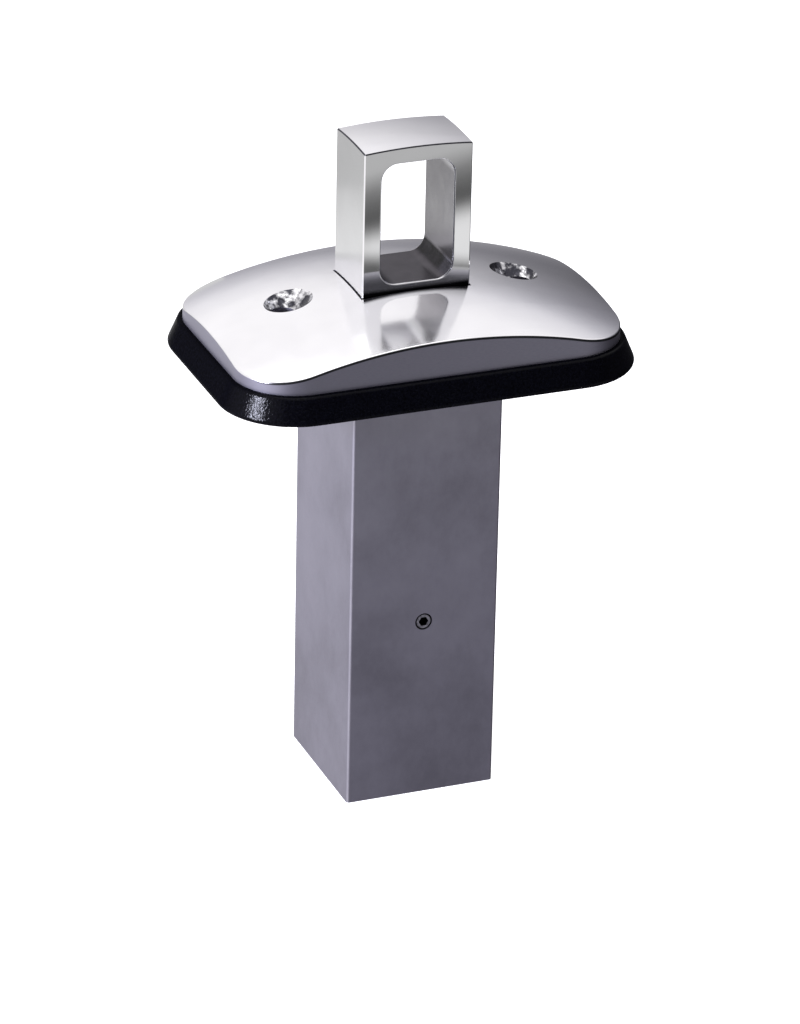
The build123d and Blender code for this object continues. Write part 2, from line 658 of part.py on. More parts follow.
# Light torsion spring that brings the arm back to hang straight
bias_start = ARM_FRONT + ARM_THICKNESS + BIAS_GAP
with BuildPart() as latch_spring:
    with BuildLine() as bias_line:
        Helix(
            BIAS_PITCH, BIAS_PITCH * BIAS_TURNS, BIAS_RADIUS,
            center=(LATCH_X, bias_start, LATCH_Z), direction=(0, 1, 0),
        )
    with BuildSketch(Plane(origin=bias_line.line @ 0, z_dir=bias_line.line % 0)):
        Circle(BIAS_WIRE)
    sweep(path=bias_line.line)
save(latch_spring.part, "latch_spring")
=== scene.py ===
"""Looks of the retractable deck bollard: mirror-polished plate and post, satin tube, black gasket.

Metres, in the part's own frame: +Z up, -Y towards the stop screw, origin in the deck's surface.
"""

import json
import math

import bmesh
import bpy
from mathutils import Matrix, Vector


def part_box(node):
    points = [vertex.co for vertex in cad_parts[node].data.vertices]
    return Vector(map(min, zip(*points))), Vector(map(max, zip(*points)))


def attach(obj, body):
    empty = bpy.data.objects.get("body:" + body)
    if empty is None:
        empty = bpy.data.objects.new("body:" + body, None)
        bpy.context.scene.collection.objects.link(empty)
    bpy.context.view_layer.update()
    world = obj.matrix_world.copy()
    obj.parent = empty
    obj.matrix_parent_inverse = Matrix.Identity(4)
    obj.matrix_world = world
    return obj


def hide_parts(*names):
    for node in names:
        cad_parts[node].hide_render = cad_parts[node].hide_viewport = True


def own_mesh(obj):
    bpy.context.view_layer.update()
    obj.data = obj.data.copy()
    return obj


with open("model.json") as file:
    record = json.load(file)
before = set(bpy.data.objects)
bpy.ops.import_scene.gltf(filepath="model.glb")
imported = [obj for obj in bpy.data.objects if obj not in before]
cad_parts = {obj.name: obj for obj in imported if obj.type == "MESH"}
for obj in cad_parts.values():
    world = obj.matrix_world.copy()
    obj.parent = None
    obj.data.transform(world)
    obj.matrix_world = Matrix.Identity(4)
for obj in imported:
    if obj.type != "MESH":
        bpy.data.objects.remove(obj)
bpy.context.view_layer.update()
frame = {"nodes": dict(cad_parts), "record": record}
nodes = frame["nodes"]
scene = bpy.context.scene

# Camera, as it stood for the photograph
CAMERA_AZIMUTH = -21.75
CAMERA_ELEVATION = 25.14
CAMERA_ROLL = 1.25
CAMERA_DISTANCE = 2.418
CAMERA_LENS = 190.97
CAMERA_SENSOR = 36.0
AIM_RIGHT = 0.00143
AIM_HEIGHT = -0.078

# How bright the surroundings are where they are white
WORLD_STRENGTH = 1.1

# Post, where its finish and painted shade change: the rope window's half width and the rounding at its
# mouth, the sill and how far above it the window is darker in patches, the band under the crown, and the
# heights between which the painted shade line at the front's foot ends
WINDOW_REACH = 0.0172
WINDOW_EDGE = 0.0006
SILL_HEIGHT = 0.040
DARKENING_RISE = 0.024
CROWN_BAND = 0.009
FOOT_LINE = (0.0366, 0.0388)

# Deck plate: its dome, the room round a bolt hole, and the painted dark reflection at the dome's rim, which
# fades in over the first depths under the dome and out over the second
PLATE_CROWN = 0.0369
DOME_RADIUS_X = 0.260
DOME_RADIUS_Y = 0.211
BOLT_ROOM = 0.020
RIM_REFLECTION_START = (0.00008, 0.00025)
RIM_REFLECTION_END = (0.0010, 0.0014)

# Set screw: how deep its flat ring may lie, and the radii between which the ring ends
SOCKET_LIP = 0.0003
RING_EDGE = (0.0031, 0.0034)

# Roughness of the polished pieces, and what satin walls and the rope window add to it
PLATE_ROUGHNESS = (0.10, 0.16)
POST_ROUGHNESS = (0.02, 0.06)
SATIN_ROUGHNESS = 0.32
WINDOW_ROUGHNESS = 0.22
LEFT_FACE_SHARE = 0.6

# Polished steel's own tone, from stains to clean metal
MIRROR_TONES = [(0.3, (0.84, 0.84, 0.85)), (0.7, (0.88, 0.88, 0.89))]

# Return spring: its wire's radius, its turns and how finely it is made
SPRING_WIRE = 0.0009
SPRING_TURNS = 15.5
SPRING_CLOSED_TURNS = 1.5
SPRING_STEPS = 36
SPRING_SIDES = 14

# Corners of a square round the origin
SQUARE = ((-1, -1), (1, -1), (1, 1), (-1, 1))

# Floor: half its side, and how brightly it shines of itself
FLOOR_REACH = 12.0
FLOOR_GLOW = 0.9

# Cards that the polished steel mirrors: brightness from foot to top
FRONT_CARD = {
    "place": (0.14, -0.32, -0.0875), "turn": 0, "tilt": -9, "size": (0.40, 0.16),
    "glow": [(0.0, 0.82), (0.60, 0.84), (0.622, 0.79), (0.642, 0.62), (0.661, 0.40), (0.681, 0.20),
             (0.70, 0.12), (0.72, 0.115), (0.76, 0.16), (0.80, 0.24), (0.865, 0.50), (1.0, 0.50)],
    "foot": [(0.0, 0.42), (0.20, 0.75), (0.34, 0.40), (0.44, 0.06), (0.52, 0.12), (1.0, 0.19)],
    "foot_slope": 0.88,
    "foot_edge": (-0.09, 0.07),
}
BACK_CARD = {
    "place": (-0.16, 0.32, -0.080), "turn": 22, "size": (0.40, 0.16),
    "glow": [(0.0, 0.95), (0.30, 0.92), (0.50, 0.66), (0.66, 0.54), (1.0, 0.50)],
}
LEFT_CARD = {
    "place": (-0.150, 0.120, -0.046), "turn": 22, "size": (0.16, 0.045),
    "glow": [(0.0, 0.6), (0.5, 1.0), (1.0, 0.8)], "strength": 1.3,
}
POST_CARD = {
    "place": (-0.0775, 0.125, -0.0095), "turn": 22, "size": (0.07, 0.071),
    "glow": [(0.0, 0.95), (0.28, 0.92), (0.74, 0.765), (0.97, 0.664), (1.0, 0.65)],
}

# Surroundings: grey by elevation in degrees, and where each sector is: its azimuth from +Y,
# and the degrees away from it at which it starts and is full
SKY_BACK = [(-90, 0.60), (-30, 0.70), (-12, 0.55), (0, 0.44), (7, 0.60), (15, 0.83), (24, 1.0), (90, 1.0)]
SKY_SECTORS = [
    {"stops": [(-90, 0.50), (-30, 0.62), (-10, 0.80), (0, 0.92), (90, 1.0)], "sector": (-70, 70, 35)},
    {"stops": [(-90, 0.60), (-40, 0.80), (-34, 1.0), (-16, 1.0), (-8, 0.92), (90, 1.0)],
     "sector": (-112, 40, 12)},
    {"stops": [(-90, 0.10), (-11, 0.03), (0, 0.06), (7, 0.082), (15, 0.16), (22, 0.26), (28, 0.50),
               (31, 0.72), (41, 0.97), (90, 1.0)], "sector": (80, 74, 38)},
    {"stops": [(-90, 0.16), (-30, 0.36), (-12, 0.20), (-5, 0.42), (-1, 0.24), (3, 0.10), (8, 0.05),
               (27, 0.05), (34, 0.85), (60, 0.95), (90, 1.0)], "sector": (165, 62, 40)},
]
SKY_BLUE = 0.14
SKY_GREEN = 0.98

# Lights: place, size and power
OVERHEAD_LIGHT = {"place": (-0.3, 0.2, 2.2), "size": (2.0, 2.0), "power": 12, "colour": (1, 1, 1)}
WINDOW_LIGHT = {
    "place": (-1.10, -0.30, 0.36), "size": (0.18, 0.16), "power": 28, "colour": (0.80, 0.82, 1.0),
}


# ---------------------------------------------------------------- node helpers
def new_material(name):
    """A material with an empty node tree, its tree and its shader."""
    material = bpy.data.materials.new(name)
    material.use_nodes = True
    tree = material.node_tree
    tree.nodes.clear()
    shader = tree.nodes.new("ShaderNodeBsdfPrincipled")
    output = tree.nodes.new("ShaderNodeOutputMaterial")
    tree.links.new(shader.outputs["BSDF"], output.inputs["Surface"])
    return material, tree, shader


def noise(tree, vector, scale, detail=3.0, roughness=0.5):
    """A noise texture's factor."""
    node = tree.nodes.new("ShaderNodeTexNoise")
    node.inputs["Scale"].default_value = scale
    node.inputs["Detail"].default_value = detail
    node.inputs["Roughness"].default_value = roughness
    tree.links.new(vector, node.inputs["Vector"])
    return node.outputs["Fac"]


def ramp(tree, factor, stops):
    """A colour ramp with stops of (position, colour or grey)."""
    node = tree.nodes.new("ShaderNodeValToRGB")
    elements = node.color_ramp.elements
    while len(elements) < len(stops):
        elements.new(0.5)
    for element, (position, value) in zip(elements, stops):
        element.position = position
        element.color = (value,) * 3 + (1,) if isinstance(value, float) else tuple(value) + (1,)
    tree.links.new(factor, node.inputs["Fac"])
    return node.outputs["Color"]


def mapped(tree, scale=(1, 1, 1)):
    """Object coordinates, stretched by scale."""
    coordinates = tree.nodes.new("ShaderNodeTexCoord")
    mapping = tree.nodes.new("ShaderNodeMapping")
    mapping.inputs["Scale"].default_value = scale
    tree.links.new(coordinates.outputs["Object"], mapping.inputs["Vector"])
    return mapping.outputs["Vector"]


def remapped(tree, value, low, high, start=0.0, end=1.0, smooth=False):
    """The value, moved from low to high into start to end, and kept between them."""
    node = tree.nodes.new("ShaderNodeMapRange")
    if smooth:
        node.interpolation_type = "SMOOTHSTEP"
    node.inputs["From Min"].default_value = low
    node.inputs["From Max"].default_value = high
    node.inputs["To Min"].default_value = start
    node.inputs["To Max"].default_value = end
    tree.links.new(value, node.inputs["Value"])
    return node.outputs["Result"]


def span(tree, factor, start, end):
    """A factor of 0 to 1, moved into start to end."""
    return remapped(tree, factor, 0.0, 1.0, start, end)


def step(tree, value, low, high):
    """0 where value is under low, 1 where it is over high, smooth between."""
    return remapped(tree, value, low, high, smooth=True)


def number(tree, operation, first, second=None):
    """A math node's result, from sockets or numbers."""
    node = tree.nodes.new("ShaderNodeMath")
    node.operation = operation
    for socket, value in zip(node.inputs, (first, second)):
        if isinstance(value, (int, float)):
            socket.default_value = value
        elif value is not None:
            tree.links.new(value, socket)
    return node.outputs["Value"]


def plus(tree, first, second):
    """A sum."""
    return number(tree, "ADD", first, second)


def minus(tree, first, second):
    """A difference."""
    return number(tree, "SUBTRACT", first, second)


def times(tree, first, second):
    """A product."""
    return number(tree, "MULTIPLY", first, second)


def larger(tree, first, second):
    """The larger of two."""
    return number(tree, "MAXIMUM", first, second)


def under(tree, value, limit):
    """1 where value is less than limit, 0 elsewhere."""
    return number(tree, "LESS_THAN", value, limit)


def size_of(tree, value):
    """A value without its sign."""
    return number(tree, "ABSOLUTE", value)


def opposite(tree, value):
    """A value with its sign turned."""
    return times(tree, value, -1.0)


def weighted(tree, share, weight, base):
    """share times weight, plus base."""
    result = number(tree, "MULTIPLY_ADD", share, weight)
    tree.links.new(base, result.node.inputs[2])
    return result


def mixed(tree, share, first, second):
    """first where share is 0, second where it is 1; both are colours."""
    node = tree.nodes.new("ShaderNodeMix")
    node.data_type = "RGBA"
    sockets = {socket.identifier: socket for socket in list(node.inputs) + list(node.outputs)}
    tree.links.new(share, sockets["Factor_Float"])
    tree.links.new(first, sockets["A_Color"])
    tree.links.new(second, sockets["B_Color"])
    return sockets["Result_Color"]


def split(tree, vector):
    """A vector's three parts."""
    node = tree.nodes.new("ShaderNodeSeparateXYZ")
    tree.links.new(vector, node.inputs["Vector"])
    return [node.outputs[axis] for axis in "XYZ"]


def surface(tree):
    """The surface's own normal and place, as three parts each, in the part's frame."""
    coordinates = tree.nodes.new("ShaderNodeTexCoord")
    return split(tree, coordinates.outputs["Normal"]), split(tree, coordinates.outputs["Object"])


def bump(tree, shader, height, strength, distance):
    """Bump on the shader from a height."""
    node = tree.nodes.new("ShaderNodeBump")
    node.inputs["Strength"].default_value = strength
    node.inputs["Distance"].default_value = distance
    tree.links.new(height, node.inputs["Height"])
    tree.links.new(node.outputs["Normal"], shader.inputs["Normal"])


# ---------------------------------------------------------------- materials
def metal(name, dark, light, patches, roughness):
    """Bare metal: its colour and shine vary softly in patches of about 1/patches metres."""
    material, tree, shader = new_material(name)
    shader.inputs["Metallic"].default_value = 1.0
    tone = noise(tree, mapped(tree), patches, 5, 0.6)
    tree.links.new(ramp(tree, tone, [(0.3, dark), (0.7, light)]), shader.inputs["Base Color"])
    tree.links.new(span(tree, tone, *roughness), shader.inputs["Roughness"])
    return material, tree, shader


def depth_under_dome(tree, place):
    """How far a point of the deck plate lies under the dome's surface."""
    across = minus(tree, DOME_RADIUS_X ** 2, times(tree, place[0], place[0]))
    ring = minus(tree, number(tree, "SQRT", across), DOME_RADIUS_X - DOME_RADIUS_Y)
    along = minus(tree, times(tree, ring, ring), times(tree, place[1], place[1]))
    dome = plus(tree, number(tree, "SQRT", along), PLATE_CROWN - DOME_RADIUS_Y)
    return minus(tree, dome, place[2])


def plate_steel():
    """The deck plate: a polished dome over a satin wall, a painted dark reflection between them, rippled
    sinks with painted reflections.
    """
    material, tree, shader = new_material("polished_steel_plate")
    shader.inputs["Metallic"].default_value = 1.0
    normal, place = surface(tree)
    haze = noise(tree, mapped(tree), 60, 4)
    swirl = noise(tree, mapped(tree), 190, 3, 0.55)
    grain = noise(tree, mapped(tree, (1, 1, 6)), 500, 3)
    # where the walls, the sinks and the rim are
    lift = size_of(tree, normal[2])
    sloping = step(tree, lift, 0.15, 0.40)
    upright = minus(tree, 1.0, sloping)
    rounding = minus(tree, sloping, step(tree, lift, 0.86, 0.93))
    near_bolt = times(
        tree, under(tree, size_of(tree, place[1]), BOLT_ROOM),
        under(tree, size_of(tree, place[0]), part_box("deck_plate")[1].x - BOLT_ROOM))
    in_sink = times(tree, rounding, near_bolt)
    # painted dark reflection along the dome's rim: only where it faces front and right, and not near the
    # bolt holes
    front_right = step(tree, minus(tree, normal[0], normal[1]), -0.35, 0.25)
    depth = depth_under_dome(tree, place)
    rim = minus(tree, step(tree, depth, *RIM_REFLECTION_START), step(tree, depth, *RIM_REFLECTION_END))
    painted_rim_reflection = times(tree, rim, minus(tree, front_right, near_bolt))
    # their colours
    mirror = ramp(tree, haze, MIRROR_TONES)
    satin = ramp(tree, grain, [(0.3, (0.265, 0.257, 0.31)), (0.7, (0.295, 0.287, 0.34))])
    # colour of the rim's painted dark reflection
    line = ramp(tree, haze, [(0.3, (0.02, 0.02, 0.023)), (0.7, (0.05, 0.05, 0.055))])
    # painted reflections in the countersinks: dark and bright patches
    painted_sink_reflection = ramp(tree, swirl, [(0.45, (0.05, 0.05, 0.06)), (0.60, (0.86, 0.86, 0.87))])
    colour = mixed(tree, upright, mixed(tree, in_sink, mirror, painted_sink_reflection), satin)
    tree.links.new(mixed(tree, painted_rim_reflection, colour, line), shader.inputs["Base Color"])
    shine = weighted(tree, upright, SATIN_ROUGHNESS, span(tree, haze, *PLATE_ROUGHNESS))
    tree.links.new(shine, shader.inputs["Roughness"])
    relief = weighted(tree, grain, 0.004, times(tree, swirl, in_sink))
    bump(tree, shader, relief, 0.9, 0.0012)
    return material


def post_steel():
    """The post: mirror-polished outside, duller in the rope window, with painted shade that makes some edges
    and the window's fillets black.
    """
    material, tree, shader = new_material("polished_steel_post")
    normal, place = surface(tree)
    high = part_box("bollard_post")[1]
    haze = noise(tree, mapped(tree), 60, 4)
    stains_and_shade = noise(tree, mapped(tree), 130, 6, 0.65)
    grain = noise(tree, mapped(tree, (1, 1, 0.2)), 400, 3)
    # the window's inside, without its top, and where it is darker: on its sill and in patches low down
    from_middle = size_of(tree, place[0])
    below_crown = under(tree, place[2], high.z - CROWN_BAND)
    inside_y = under(tree, size_of(tree, place[1]), high.y - WINDOW_EDGE)
    inside = times(tree, times(tree, under(tree, from_middle, WINDOW_REACH), inside_y), below_crown)
    facing_down = step(tree, opposite(tree, normal[2]), 0.3, 0.7)
    dulled = minus(tree, inside, times(tree, inside, facing_down))
    facing_up = step(tree, normal[2], 0.10, 0.60)
    low_down = minus(tree, 1.0, step(tree, place[2], SILL_HEIGHT, SILL_HEIGHT + DARKENING_RISE))
    darker_sill = larger(tree, facing_up, times(tree, low_down, stains_and_shade))
    # painted shade: dark lines on the crown's chamfer, the lip on the window's right and the front's foot,
    # and in the sill's fillets
    leaning = minus(tree, step(tree, normal[2], 0.4, 0.6), step(tree, normal[2], 0.8, 0.9))
    chamfered = times(tree, leaning, minus(tree, 1.0, below_crown))
    curved = minus(tree, step(tree, normal[2], 0.06, 0.25), step(tree, normal[2], 0.80, 0.95))
    painted_fillet_shade = times(tree, curved, inside)
    lip = times(tree, step(tree, opposite(tree, normal[0]), 0.25, 0.45),
                step(tree, opposite(tree, normal[1]), 0.15, 0.35))
    lip = times(tree, lip, under(tree, from_middle, WINDOW_REACH + WINDOW_EDGE))
    above_foot = step(tree, place[2], *FOOT_LINE)
    foot = times(tree, step(tree, opposite(tree, normal[1]), 0.8, 0.95), minus(tree, 1.0, above_foot))
    line = larger(tree, chamfered, lip)
    # their colours
    mirror = ramp(tree, haze, MIRROR_TONES)
    dull = ramp(tree, stains_and_shade, [(0.3, (0.30, 0.29, 0.31)), (0.7, (0.38, 0.375, 0.39))])
    # darker on the sill and in patches low on the window's walls
    sill = ramp(tree, stains_and_shade, [(0.3, (0.040, 0.036, 0.044)), (0.7, (0.068, 0.062, 0.072))])
    # painted shade, nearly black, on the crown's chamfer, the window's right lip and the front's foot
    edge = ramp(tree, stains_and_shade, [(0.3, (0.008, 0.008, 0.010)), (0.7, (0.030, 0.029, 0.033))])
    # painted shade in the window's fillets, darkest of all
    fillet_shade_colour = ramp(tree, stains_and_shade, [(0.35, (0.003, 0.003, 0.004)), (0.62, (0.030, 0.028, 0.033))])
    colour = mixed(tree, dulled, mirror, mixed(tree, darker_sill, dull, sill))
    colour = mixed(tree, larger(tree, line, foot), mixed(tree, painted_fillet_shade, colour, fillet_shade_colour), edge)
    tree.links.new(colour, shader.inputs["Base Color"])
    tree.links.new(span(tree, larger(tree, painted_fillet_shade, line), 1.0, 0.15), shader.inputs["Metallic"])
    shader.inputs["Specular IOR Level"].default_value = 0.1
    leftward = step(tree, opposite(tree, normal[0]), 0.8, 0.95)
    blurred = larger(tree, inside, times(tree, leftward, LEFT_FACE_SHARE))
    shine = weighted(tree, blurred, WINDOW_ROUGHNESS, span(tree, haze, *POST_ROUGHNESS))
    tree.links.new(shine, shader.inputs["Roughness"])
    bump(tree, shader, grain, 0.02, 0.0001)
    return material


def satin_steel():
    """Satin steel: a fine upright grain, soft mottling, thin scratches, painted shade darker towards the
    bottom and painted highlights on the corners.
    """
    material, tree, shader = new_material("satin_steel_brushed")
    shader.inputs["Metallic"].default_value = 1.0
    grain = noise(tree, mapped(tree, (1, 1, 0.04)), 1600, 3)
    mottle = noise(tree, mapped(tree), 17, 6, 0.55)
    speckle = noise(tree, mapped(tree), 900, 2)
    streaks = noise(tree, mapped(tree, (1, 1, 0.6)), 190, 7, 0.75)
    normal, place = surface(tree)
    corner = size_of(tree, times(tree, normal[0], normal[1]))
    tone = plus(tree, times(tree, mottle, 0.78), times(tree, streaks, 0.22))
    # painted shade: darker towards the bottom
    tone_and_painted_shade = weighted(tree, place[2], 0.55, tone)
    steel = ramp(tree, tone_and_painted_shade, [(0.26, (0.245, 0.237, 0.280)), (0.46, (0.335, 0.325, 0.385)),
                                (0.62, (0.385, 0.375, 0.44))])
    # painted highlight: paler rounded corners
    painted_corner_highlight = ramp(tree, streaks, [(0.3, (0.37, 0.36, 0.42)), (0.7, (0.44, 0.43, 0.49))])
    tree.links.new(mixed(tree, step(tree, corner, 0.12, 0.40), steel, painted_corner_highlight), shader.inputs["Base Color"])
    tree.links.new(span(tree, speckle, 0.33, 0.45), shader.inputs["Roughness"])
    bump(tree, shader, grain, 0.12, 0.0001)
    return material


def gasket_rubber():
    """Black rubber with a pebbled skin, that shines a little where it faces forward."""
    material, tree, shader = new_material("gasket_rubber_black")
    pebbles = noise(tree, mapped(tree), 1000, 2)
    normal, _ = surface(tree)
    forward = step(tree, opposite(tree, normal[1]), 0.10, 0.45)
    tree.links.new(span(tree, forward, 0.004, 0.06), shader.inputs["Specular IOR Level"])
    tree.links.new(span(tree, pebbles, 0.13, 0.20), shader.inputs["Roughness"])
    tree.links.new(ramp(tree, pebbles, [(0.3, (0.0006, 0.0006, 0.001)), (0.7, (0.0016, 0.0016, 0.003))]),
                   shader.inputs["Base Color"])
    bump(tree, shader, pebbles, 0.5, 0.0003)
    return material


def seal_rubber():
    """Matte black rubber of the wiper, buffer and bumpers, dusty in patches."""
    material, tree, shader = new_material("seal_rubber_matte")
    dust = noise(tree, mapped(tree), 120, 5)
    grit = noise(tree, mapped(tree), 2200, 2)
    tree.links.new(ramp(tree, dust, [(0.3, (0.018, 0.018, 0.018)), (0.7, (0.035, 0.034, 0.033))]),
                   shader.inputs["Base Color"])
    tree.links.new(span(tree, dust, 0.62, 0.78), shader.inputs["Roughness"])
    bump(tree, shader, grit, 0.4, 0.0002)
    return material


def white_acetal():
    """Machined acetal: off-white, a little waxy, with fine tool marks."""
    material, tree, shader = new_material("white_acetal_machined")
    tone = noise(tree, mapped(tree), 50, 3)
    marks = noise(tree, mapped(tree, (0.1, 0.1, 1)), 2600, 2)
    shader.inputs["Subsurface Weight"].default_value = 0.15
    shader.inputs["Subsurface Scale"].default_value = 0.002
    tree.links.new(ramp(tree, tone, [(0.3, (0.76, 0.75, 0.70)), (0.7, (0.84, 0.83, 0.79))]),
                   shader.inputs["Base Color"])
    tree.links.new(span(tree, marks, 0.36, 0.50), shader.inputs["Roughness"])
    bump(tree, shader, marks, 0.12, 0.0001)
    return material


def fastener_steel():
    """Stainless screws, rod and washer: fine turning marks and darker patches."""
    material, tree, shader = metal(
        "fastener_steel_turned", (0.34, 0.34, 0.36), (0.48, 0.48, 0.50), 300, (0.24, 0.36))
    marks = noise(tree, mapped(tree), 3500, 2)
    bump(tree, shader, marks, 0.15, 0.0001)
    return material


def stop_screw_steel():
    """The set screw: grey on its flat ring, with painted shade nearly black in the socket and round the
    ring.
    """
    material, tree, shader = new_material("fastener_steel_set_screw")
    shader.inputs["Metallic"].default_value = 1.0
    normal, place = surface(tree)
    low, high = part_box("stop_screw")
    facing_front = step(tree, opposite(tree, normal[1]), 0.8, 0.95)
    flat = times(tree, facing_front, under(tree, place[1], low.y + SOCKET_LIP))
    upward = minus(tree, place[2], (low.z + high.z) / 2)
    across = plus(tree, times(tree, place[0], place[0]), times(tree, upward, upward))
    past_ring = step(tree, number(tree, "SQRT", across), *RING_EDGE)
    flat = times(tree, flat, minus(tree, 1.0, past_ring))
    grime_and_shade = noise(tree, mapped(tree), 900, 4)
    ring = ramp(tree, grime_and_shade, [(0.35, (0.18, 0.175, 0.20)), (0.65, (0.42, 0.41, 0.45))])
    # painted shade in the socket and round the ring
    black = ramp(tree, grime_and_shade, [(0.3, (0.004, 0.004, 0.005)), (0.7, (0.012, 0.012, 0.013))])
    tree.links.new(mixed(tree, flat, black, ring), shader.inputs["Base Color"])
    tree.links.new(span(tree, grime_and_shade, 0.34, 0.48), shader.inputs["Roughness"])
    bump(tree, shader, grime_and_shade, 0.1, 0.0001)
    return material


def spring_steel():
    """Bright drawn spring wire, with lines along the wire's turns."""
    material, tree, shader = metal(
        "spring_steel_drawn", (0.40, 0.39, 0.40), (0.56, 0.56, 0.57), 200, (0.18, 0.30))
    lines = noise(tree, mapped(tree, (0.2, 0.2, 1)), 6000, 2)
    bump(tree, shader, lines, 0.15, 0.00005)
    return material


def bronze():
    """Turned bronze of the latch bush, browner in patches."""
    material, tree, shader = metal(
        "bronze_turned", (0.42, 0.26, 0.12), (0.62, 0.43, 0.22), 260, (0.28, 0.42))
    marks = noise(tree, mapped(tree, (1, 0.1, 1)), 3000, 2)
    bump(tree, shader, marks, 0.15, 0.0001)
    return material


slot_makers = {
    "polished_steel": post_steel,
    "satin_steel": satin_steel,
    "gasket_rubber": gasket_rubber,
    "seal_rubber": seal_rubber,
    "white_acetal": white_acetal,
    "fastener_steel": fastener_steel,
    "spring_steel": spring_steel,
    "bronze": bronze,
}
finishes = {slot: make() for slot, make in slot_makers.items()}
own_finishes = {"deck_plate": plate_steel(), "stop_screw": stop_screw_steel()}
for subpart in frame["record"]["subparts"]:
    name = subpart["node"]
    slots = nodes[name].data.materials
    slots.clear()
    slots.append(own_finishes.get(name) or finishes[subpart["material_slot"]])


# ---------------------------------------------------------------- return spring
def spring_point(turn, low, high):
    """The wire's middle after so many turns: closed turns at both ends, open ones between."""
    coil_radius = (high.x - low.x) / 2 - SPRING_WIRE
    closed_rise = 2 * SPRING_WIRE
    open_turns = SPRING_TURNS - 2 * SPRING_CLOSED_TURNS
    start = low.z + SPRING_WIRE
    open_rise = (high.z - SPRING_WIRE - start - 2 * SPRING_CLOSED_TURNS * closed_rise) / open_turns
    first_closed = min(turn, SPRING_CLOSED_TURNS)
    opened = min(max(turn - SPRING_CLOSED_TURNS, 0), open_turns)
    last_closed = max(turn - SPRING_CLOSED_TURNS - open_turns, 0)
    height = start + (first_closed + last_closed) * closed_rise + opened * open_rise
    angle = turn * 2 * math.pi
    return Vector((coil_radius * math.cos(angle), coil_radius * math.sin(angle), height))


def make_spring():
    """The return spring's wire as a round tube."""
    low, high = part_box("return_spring")
    rings = int(SPRING_TURNS * SPRING_STEPS)
    points = [spring_point(ring / SPRING_STEPS, low, high) for ring in range(rings + 1)]
    shape = bmesh.new()
    loops = []
    for index, point in enumerate(points):
        along = (points[min(index + 1, rings)] - points[max(index - 1, 0)]).normalized()
        outward = Vector((point.x, point.y, 0)).normalized()
        upward = along.cross(outward).normalized()
        outward = upward.cross(along)
        loop = []
        for side in range(SPRING_SIDES):
            angle = side / SPRING_SIDES * 2 * math.pi
            offset = outward * math.cos(angle) + upward * math.sin(angle)
            loop.append(shape.verts.new(point + offset * SPRING_WIRE))
        loops.append(loop)
    for near, far in zip(loops, loops[1:]):
        for side in range(SPRING_SIDES):
            beside = (side + 1) % SPRING_SIDES
            shape.faces.new((near[side], far[side], far[beside], near[beside]))
    shape.faces.new(loops[0])
    shape.faces.new(loops[-1])
    bmesh.ops.recalc_face_normals(shape, faces=shape.faces)
    mesh = bpy.data.meshes.new("return_spring_wire")
    shape.to_mesh(mesh)
    shape.free()
    for face in mesh.polygons:
        face.use_smooth = len(face.vertices) == 4
    mesh.materials.append(finishes["spring_steel"])
    spring = bpy.data.objects.new("return_spring_wire", mesh)
    scene.collection.objects.link(spring)
    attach(spring, "housing")
    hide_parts("return_spring")
    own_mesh(spring)


# ---------------------------------------------------------------- stage
def make_camera():
    """The camera at the photograph's viewing angle."""
    azimuth, elevation, roll = (math.radians(a) for a in (CAMERA_AZIMUTH, CAMERA_ELEVATION, CAMERA_ROLL))
    back = Vector((
        math.sin(azimuth) * math.cos(elevation),
        -math.cos(azimuth) * math.cos(elevation),
        math.sin(elevation),
    ))
    level_right = Vector((0, 0, 1)).cross(back).normalized()
    level_up = back.cross(level_right)
    right = level_right * math.cos(roll) + level_up * math.sin(roll)
    up = level_up * math.cos(roll) - level_right * math.sin(roll)
    place = Vector((0, 0, AIM_HEIGHT)) + right * AIM_RIGHT + back * CAMERA_DISTANCE
    data = bpy.data.cameras.new("camera")
    data.lens = CAMERA_LENS
    data.sensor_width = CAMERA_SENSOR
    camera = bpy.data.objects.new("camera", data)
    scene.collection.objects.link(camera)
    rotation = Matrix((right, up, back)).transposed().to_4x4()
    camera.matrix_world = Matrix.Translation(place) @ rotation
    scene.camera = camera


def make_floor():
    """A plain pale floor under the tube."""
    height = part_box("housing_tube")[0].z
    mesh = bpy.data.meshes.new("floor")
    corners = [(x * FLOOR_REACH, y * FLOOR_REACH, height) for x, y in SQUARE]
    mesh.from_pydata(corners, [], [(0, 1, 2, 3)])
    floor = bpy.data.objects.new("floor", mesh)
    scene.collection.objects.link(floor)
    material, tree, shader = new_material("floor_white")
    shader.inputs["Base Color"].default_value = (0.6, 0.6, 0.6, 1)
    shader.inputs["Roughness"].default_value = 0.9
    shader.inputs["Emission Color"].default_value = (1, 1, 1, 1)
    shader.inputs["Emission Strength"].default_value = FLOOR_GLOW
    mesh.materials.append(material)
    floor.visible_glossy = False


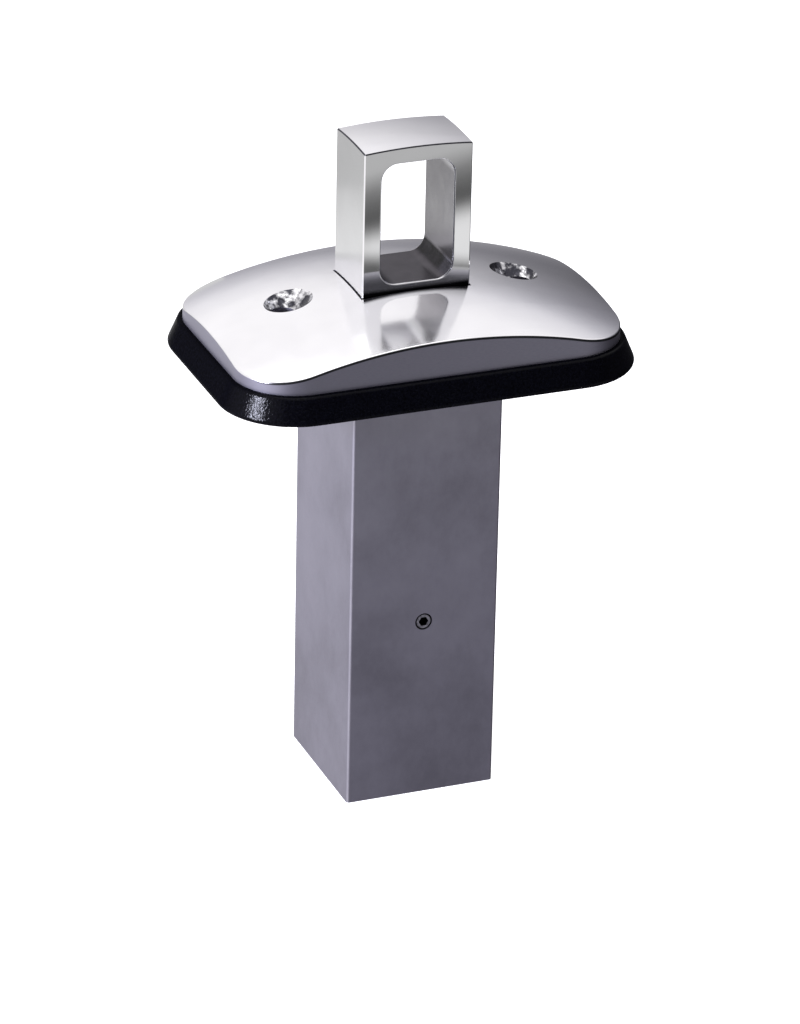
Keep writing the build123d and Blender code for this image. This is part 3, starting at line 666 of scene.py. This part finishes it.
def make_card(name, place, turn, size, glow, tilt=0, strength=1.0, foot=None, foot_slope=0,
              foot_edge=(0, 1)):
    """A card that only reflections show, facing the part, with its brightness from foot to top.

    Under a sloping edge it can have another brightness, foot.
    """
    mesh = bpy.data.meshes.new(name)
    corners = [(x, 0, z) for x, z in SQUARE]
    mesh.from_pydata(corners, [], [(0, 1, 2, 3)])
    card = bpy.data.objects.new(name, mesh)
    card.scale = (size[0] / 2, 1, size[1] / 2)
    card.location = place
    card.rotation_euler = (0, math.radians(tilt), math.radians(turn))
    scene.collection.objects.link(card)
    material, tree, shader = new_material(name + "_glow")
    across, _, height = split(tree, mapped(tree))
    shader.inputs["Base Color"].default_value = (0, 0, 0, 1)
    shader.inputs["Specular IOR Level"].default_value = 0
    shader.inputs["Emission Strength"].default_value = strength
    share = remapped(tree, height, -1, 1)
    colour = ramp(tree, share, glow)
    if foot:
        slanted = plus(tree, height, times(tree, across, foot_slope))
        colour = mixed(tree, step(tree, slanted, *foot_edge), ramp(tree, share, foot), colour)
    tree.links.new(colour, shader.inputs["Emission Color"])
    mesh.materials.append(material)
    for rays in ("visible_camera", "visible_diffuse", "visible_shadow", "visible_transmission"):
        setattr(card, rays, False)


def vector(tree, operation, first, second=None):
    """A vector math node, from a socket and numbers."""
    node = tree.nodes.new("ShaderNodeVectorMath")
    node.operation = operation
    tree.links.new(first, node.inputs[0])
    if second is not None:
        node.inputs[1].default_value = second
    return node.outputs


def lean(tree, direction, azimuth, start, full):
    """How far a direction leans towards azimuth: 0 at start degrees away from it, 1 at full."""
    level = vector(tree, "MULTIPLY", direction, (1, 1, 0))["Vector"]
    unit = vector(tree, "NORMALIZE", level)["Vector"]
    towards = (math.sin(math.radians(azimuth)), math.cos(math.radians(azimuth)), 0)
    cosine = vector(tree, "DOT_PRODUCT", unit, towards)["Value"]
    return step(tree, cosine, math.cos(math.radians(start)), math.cos(math.radians(full)))


def sky_grey(tree, height, stops):
    """A faintly blue grey by elevation, from stops of (degrees, grey)."""
    places = []
    for degrees, grey in stops:
        share = (math.sin(math.radians(degrees)) + 1) / 2
        places.append((share, (grey, grey * SKY_GREEN, grey + SKY_BLUE * grey * (1 - grey))))
    return ramp(tree, height, places)


def make_world():
    """Studio surroundings by height and side: white overhead, dark at the back right, grey in front."""
    world = bpy.data.worlds.new("studio")
    scene.world = world
    world.use_nodes = True
    tree = world.node_tree
    tree.nodes.clear()
    background = tree.nodes.new("ShaderNodeBackground")
    background.inputs["Strength"].default_value = WORLD_STRENGTH
    output = tree.nodes.new("ShaderNodeOutputWorld")
    tree.links.new(background.outputs["Background"], output.inputs["Surface"])
    direction = tree.nodes.new("ShaderNodeTexCoord").outputs["Generated"]
    height = remapped(tree, split(tree, direction)[2], -1, 1)
    sky = sky_grey(tree, height, SKY_BACK)
    for part in SKY_SECTORS:
        sky = mixed(tree, lean(tree, direction, *part["sector"]), sky, sky_grey(tree, height, part["stops"]))
    tree.links.new(sky, background.inputs["Color"])


def area_light(name, place, size, power, colour):
    """A soft light that shines on the middle of the deck plate."""
    data = bpy.data.lights.new(name, "AREA")
    data.shape = "RECTANGLE"
    data.size, data.size_y = size
    data.energy = power
    data.color = colour
    light = bpy.data.objects.new(name, data)
    scene.collection.objects.link(light)
    light.location = place
    light.rotation_euler = (-Vector(place)).to_track_quat("-Z", "Y").to_euler()


make_spring()
make_camera()
make_floor()
make_card("front_card", **FRONT_CARD)
make_card("back_card", **BACK_CARD)
make_card("left_card", **LEFT_CARD)
make_card("post_card", **POST_CARD)
make_world()
area_light("overhead", **OVERHEAD_LIGHT)
area_light("left_window", **WINDOW_LIGHT)

scene.view_settings.view_transform = "Standard"
